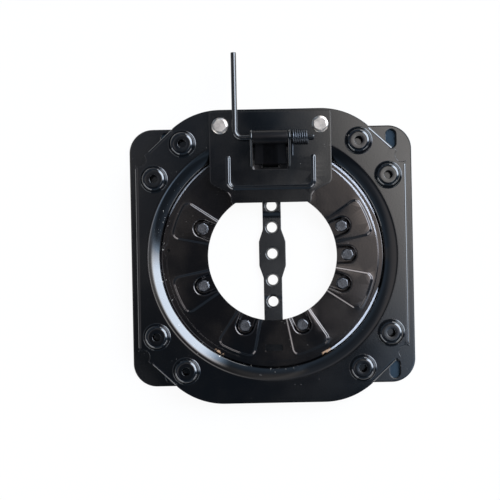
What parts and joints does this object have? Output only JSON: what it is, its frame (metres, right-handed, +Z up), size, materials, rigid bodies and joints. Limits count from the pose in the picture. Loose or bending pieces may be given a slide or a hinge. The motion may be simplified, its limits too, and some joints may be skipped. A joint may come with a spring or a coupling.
{
  "type": "swivel seat base",
  "caption": "Flat pressed-steel swivel for a camper seat: a turntable with raised seat bosses turns on a slotted base plate and locks by a sprung pawl with a bent-rod lever.",
  "frame": {"origin": "on the swivel axis, at the underside of the base plate", "axes": "+Z up, +Y along the release lever, away from the turntable's middle"},
  "size_m": [0.36, 0.4445, 0.0498],
  "materials": {
    "black_coat": "glossy black dip coat",
    "dark_steel": "dull steel",
    "zinc_steel": "bright zinc",
    "glide_plastic": "natural nylon"
  },
  "bodies": {
    "base": {"base_plate": "black_coat", "lower_glide_pads": "glide_plastic", "upper_glide_pads": "glide_plastic", "clamp_disc": "black_coat", "clamp_bolts": "dark_steel", "clamp_nuts": "dark_steel", "cross_strap": "black_coat"},
    "turntable": {"turntable_plate": "black_coat", "latch_plate": "black_coat", "latch_bolts": "zinc_steel", "latch_nuts": "zinc_steel", "return_spring": "dark_steel"},
    "latch": {"release_lever": "black_coat", "lock_pawl": "black_coat"}
  },
  "joints": [
    {"name": "swivel", "type": "hinge", "parent": "base", "child": "turntable", "pos_m": [0, 0, 0], "axis": [0, 0, 1], "continuous": true},
    {"name": "latch_pull", "type": "hinge", "parent": "turntable", "child": "latch", "pos_m": [0, 0.15, 0.0398], "axis": [-1, 0, 0], "range_deg": [0, 11], "stiffness_Nm_per_rad": 1.5, "springref_deg": -28.65}
  ]
}
